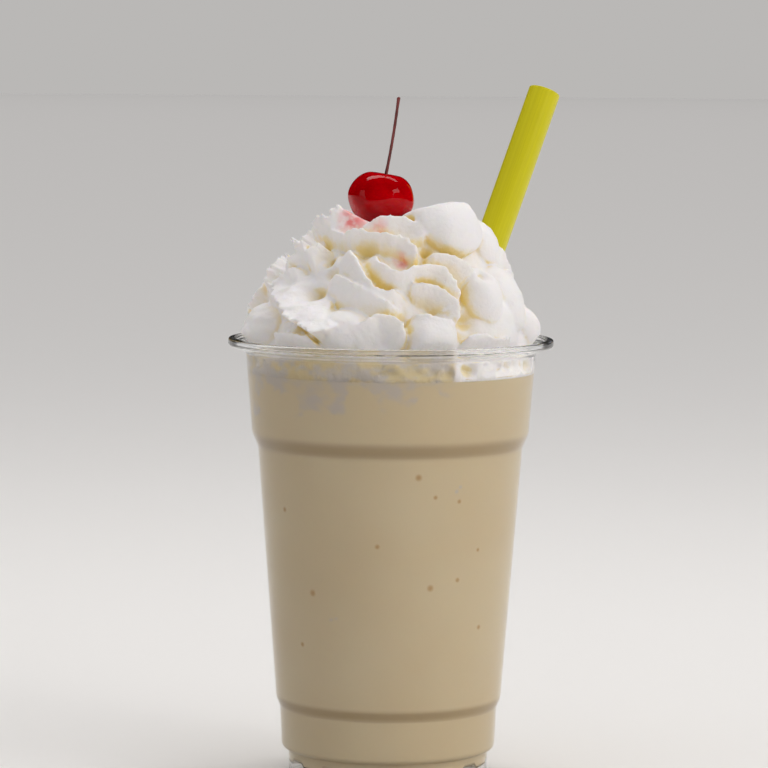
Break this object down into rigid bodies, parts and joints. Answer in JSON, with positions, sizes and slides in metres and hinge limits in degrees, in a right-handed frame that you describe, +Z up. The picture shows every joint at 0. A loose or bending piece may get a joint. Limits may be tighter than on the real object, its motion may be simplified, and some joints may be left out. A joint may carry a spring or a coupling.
{
  "type": "vanilla milkshake",
  "caption": "Vanilla milkshake in a clear plastic cup, with a piped swirl of whipped cream over its rim, a cherry with its stem on top and a straw that leans out behind.",
  "frame": {"origin": "centre of the circle on which the cup's foot stands", "axes": "+Z up along the cup's axis; the straw leans towards +X and +Y; the front, where the camera stands, is -Y"},
  "size_m": [0.1011, 0.1008, 0.2087],
  "materials": {
    "clear_cup": "clear thermoformed plastic, glossy",
    "milkshake": "pale cream-coloured thick drink, smooth where it wets the cup, with small bubbles",
    "whipped_cream": "white dairy foam, soft and slightly porous, warmer in its folds",
    "cherry": "deep red, wet and glossy",
    "cherry_stem": "dull red-brown stalk with a dry tip",
    "straw": "lime yellow extruded plastic, satin"
  },
  "bodies": {
    "root": {"cup": "clear_cup", "milkshake": "milkshake", "whipped_cream": "whipped_cream", "cherry": "cherry", "cherry_stem": "cherry_stem", "straw": "straw"}
  },
  "joints": []
}
